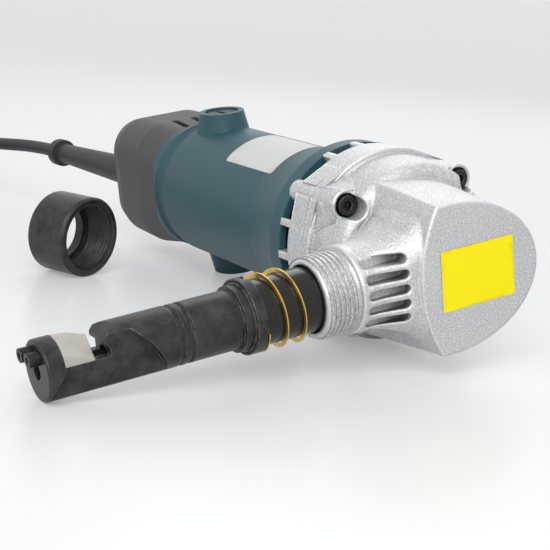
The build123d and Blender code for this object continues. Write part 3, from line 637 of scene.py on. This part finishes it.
# Die spring: flat wire wound on edge, plated a yellow gold, loose on the holder's shank.
# It pushes the index ring out of the nose when the lock nut is undone.
gold, root, place = new_finish("gold_plate")
smears = noise(root, place, grain=0.003, detail=3)
set_surface(gold, {
    "Base Color": smears.colour(tint(232, 200, 114), tint(194, 152, 70)),
    "Metallic": 0.9,
    "Roughness": 0.22 + 0.14 * smears,
    "Normal": soft_edges(root, radius=0.00015),
})
spring_from, spring_length = 75.1, 15.6
spring_pitch = 6.6
spring_start = radians(-253)
spring_steps = 230
wire_inner, wire_outer, wire_half = 11, 12.4, 0.2
wire_corners = (
    (wire_inner, -wire_half), (wire_outer, -wire_half),
    (wire_outer, wire_half), (wire_inner, wire_half),
)
corners = len(wire_corners)
spring_places, spring_faces = [], []
for step in range(spring_steps + 1):
    run = spring_length * step / spring_steps
    angle = spring_start + tau * run / spring_pitch
    for radius, aside in wire_corners:
        spring_places.append(in_tool(radius * sin(angle), spring_from - run + aside, radius * cos(angle)))
for step in range(1, spring_steps + 1):
    for corner in range(corners):
        here, following = corners * step + corner, corners * step + (corner + 1) % corners
        spring_faces.append((here, following, following - corners, here - corners))
spring_faces.append(tuple(range(corners)))
spring_faces.append(tuple(corners * spring_steps + corner for corner in reversed(range(corners))))
spring = new_piece("spring_coil", spring_places, spring_faces, gold)
spring.data.shade_smooth()
spring.data.set_sharp_from_angle(angle=radians(40))
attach(spring, "housing")
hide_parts("die_spring")
nose_end = 54.6
tuple(in_tool(0, nose_end, 0))
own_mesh(spring)

# Lock nut: a turned steel ring with an inner lip and the nose's thread, blackened, taken off the tool.
# Its outside is smooth and slightly glossy.
nut_black = blackened(
    "black_nut", tint(40, 40, 42), tint(68, 68, 70), bare=tint(124, 122, 118), roughness=0.26,
)
dress(nut_black, "lock_nut")
nut_low, nut_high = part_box("lock_nut")
nut_turn = radians(21.6)
nut_length = 0.020
nut_bore = 0.01335
nut_thread_height = 0.0006
nut_way = Vector((-cos(nut_turn), -sin(nut_turn), 0))
nut_mouth = (nut_low + nut_high) / 2 - nut_way * nut_length / 2
thread_ridge(
    "nut_thread", nut_mouth, nut_way, start=0.0016, length=0.0132,
    foot=nut_bore + thread_sink, crest=nut_bore - nut_thread_height,
    material=nut_black, body="nut",
)

# Cord guard and clamp: a soft rubber sleeve that leaves the rear cover, and the bar that grips the lead.
# The sleeve ends in a small collar; the bar is moulded plastic.
clean_rubber, dusty_rubber = tint(34, 35, 37), tint(50, 51, 53)
rubber, root, place = new_finish("black_rubber")
rounded = soft_edges(root, radius=0.0008)
dust = noise(root, place, grain=0.006, detail=4)
pebble = noise(root, place, grain=0.0005, detail=2)
set_surface(rubber, {
    "Base Color": dust.colour(clean_rubber, dusty_rubber),
    "Roughness": 0.48 + 0.14 * dust,
    "Normal": relief(root, pebble, depth=0.00003, normal=rounded),
})
dress(rubber, "cord_guard")
dress(dark_plastic, "cord_clamp")

# Cord: a round two-core lead in a rubber sheath, out of the guard and then put away in a tied coil.
# The coil spirals in and out through four layers, and its tail ends in the plug.
lead_route = [
    Vector((-0.15315, 0.03844, 0.03184)),
    Vector((-0.17708, 0.03669, 0.03133)),
    Vector((-0.20215, 0.02744, 0.02924)),
    Vector((-0.23215, 0.02339, 0.0261)),
]
coil_middle = Vector((-0.26915, -0.02356, 0))
coil_pitch = 0.0071
coil_base = 0.0048
coil_layers = 4
halves_per_layer = 5
half_turns = coil_layers * halves_per_layer - 1
points_per_half = 9
reversal_step = 1.9
reach = 0.046945
lead_in = 0.006
tail_bend, tail_end = 0.009, 0.036
layer = coil_layers - 1
spot = coil_middle + Vector((0, reach, coil_base + layer * coil_pitch))
lead_route.append(spot + Vector((lead_in, 0, 0)))
for half in range(half_turns):
    step = half % halves_per_layer
    way = 1 if half % 2 == 0 else -1
    inward = -1 if layer % 2 == 1 else 1
    reach += inward * coil_pitch / 2 * (reversal_step if step == 0 else 1)
    next_layer = layer - 1 if step == halves_per_layer - 1 else layer
    next_spot = coil_middle + Vector((0, -way * reach, coil_base + next_layer * coil_pitch))
    centre = (spot + next_spot) / 2
    outward = (next_spot - spot).length / 2 / cos(pi / points_per_half / 2)
    for point in range(points_per_half):
        share = (point + 0.5) / points_per_half
        around = Vector((-way * sin(pi * share), way * cos(pi * share), 0)) * outward
        height = spot.z + (next_spot.z - spot.z) * share
        lead_route.append(Vector((centre.x + around.x, centre.y + around.y, height)))
    spot = next_spot
    layer = next_layer
lead_route.append(spot + Vector((tail_bend, 0, 0)))
lead_route.append(spot + Vector((tail_end, 0, 0)))

lead_radius = 0.0031
lead_curve = bpy.data.curves.new("lead", "CURVE")
lead_curve.dimensions = "3D"
lead_curve.bevel_depth = lead_radius
lead_curve.bevel_resolution = 5
lead_curve.resolution_u = 6
spline = lead_curve.splines.new("NURBS")
spline.points.add(len(lead_route) - 1)
for point, bend in zip(spline.points, lead_route):
    point.co = (*bend, 1)
spline.order_u = 3
spline.use_endpoint_u = True
lead_curve.materials.append(rubber)
lead = bpy.data.objects.new("lead", lead_curve)
bpy.context.scene.collection.objects.link(lead)
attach(lead, "housing")
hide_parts("cord", "cord_coil")
dress(dark_plastic, "coil_tie")

# Plug: a flat two-pin plug moulded onto the lead's end, with plated brass pins.
# Its rubber is the lead's; the pins stand out of its front.
pin_length = 0.0189
plug_finish, root, place = new_finish("plug_rubber_and_pins")
pins = root.node("SeparateXYZ", {}, {0: place}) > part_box("plug")[1].x - pin_length
dust = noise(root, place, grain=0.006, detail=4)
set_surface(plug_finish, {
    "Base Color": pins.colour(dust.colour(clean_rubber, dusty_rubber), tint(198, 192, 176)),
    "Metallic": 0.95 * pins,
    "Roughness": 0.5 + 0.12 * dust - 0.22 * pins,
    "Normal": soft_edges(root, radius=0.0012),
})
dress(plug_finish, "plug")

# Studio: a pale glossy table, a large soft lamp above the camera and a weaker one high behind the tool.
# The room looks white but gives less light than that, and the table glows a little towards the eye.
# The camera stands where the photograph was taken.
table_gloss, root, place = new_finish("table_gloss")
clouds = noise(root, place, grain=0.3)
set_surface(table_gloss, {
    "Base Color": clouds.colour(tint(242, 243, 245), tint(246, 247, 248)),
    "Roughness": 0.28,
})


def looked_at(root):
    """1 for light on its way to the eye: straight, by way of a shiny surface, or through a clear one."""
    straight = root.node("LightPath", output="Is Camera Ray")
    return (straight + straight.other("Is Glossy Ray") + straight.other("Is Transmission Ray")).between(0, 1)


glow_share = 0.28
glow = root.node("Emission", {}, {"Color": (1, 1, 1, 1), "Strength": 1.0})
gloss = Flow(root.tree, root.tree.nodes["Principled BSDF"].outputs[0])
blend = root.node("MixShader", {}, {0: looked_at(root) * glow_share, 1: gloss, 2: glow})
root.tree.links.new(blend.socket, root.tree.nodes["Material Output"].inputs["Surface"])

table_half = 30
table_corners = [(x * table_half, y * table_half, 0) for x, y in ((-1, -1), (1, -1), (1, 1), (-1, 1))]
table = new_piece("table", table_corners, [(0, 1, 2, 3)], table_gloss)

room_light = 0.42
world = bpy.data.worlds.new("studio")
world.use_nodes = True
sky = Flow(world.node_tree)
background = world.node_tree.nodes["Background"]
background.inputs["Color"].default_value = (1, 1, 1, 1)
brightness = room_light + (1 - room_light) * looked_at(sky)
world.node_tree.links.new(brightness.socket, background.inputs["Strength"])
bpy.context.scene.world = world

lit_spot = Vector((0.05, 0, 0.03))


def soft_lamp(name, spot, watts, size):
    """A square soft box that faces the tool."""
    lamp = bpy.data.lights.new(name, "AREA")
    lamp.energy = watts
    lamp.size = size
    stand = bpy.data.objects.new(name, lamp)
    bpy.context.scene.collection.objects.link(stand)
    stand.location = spot
    stand.rotation_euler = (lit_spot - stand.location).to_track_quat("-Z", "Y").to_euler()


soft_lamp("main_lamp", (0.75, -0.5, 0.72), watts=8.3, size=0.8)
soft_lamp("back_lamp", (-0.55, 0.55, 0.75), watts=2.2, size=0.6)

camera_data = bpy.data.cameras.new("camera")
camera_data.lens = 93.57
camera_data.sensor_width = 36
camera = bpy.data.objects.new("camera", camera_data)
bpy.context.scene.collection.objects.link(camera)
camera_place = Vector((0.50757, -0.23760, 0.12542))
camera_turn = Matrix((
    (0.51047, -0.21165, 0.83344),
    (0.85704, 0.04632, -0.51316),
    (0.07001, 0.97625, 0.20504),
))
camera.matrix_world = Matrix.Translation(camera_place) @ camera_turn.to_4x4()
bpy.context.scene.camera = camera
bpy.context.scene.view_settings.view_transform = "Standard"
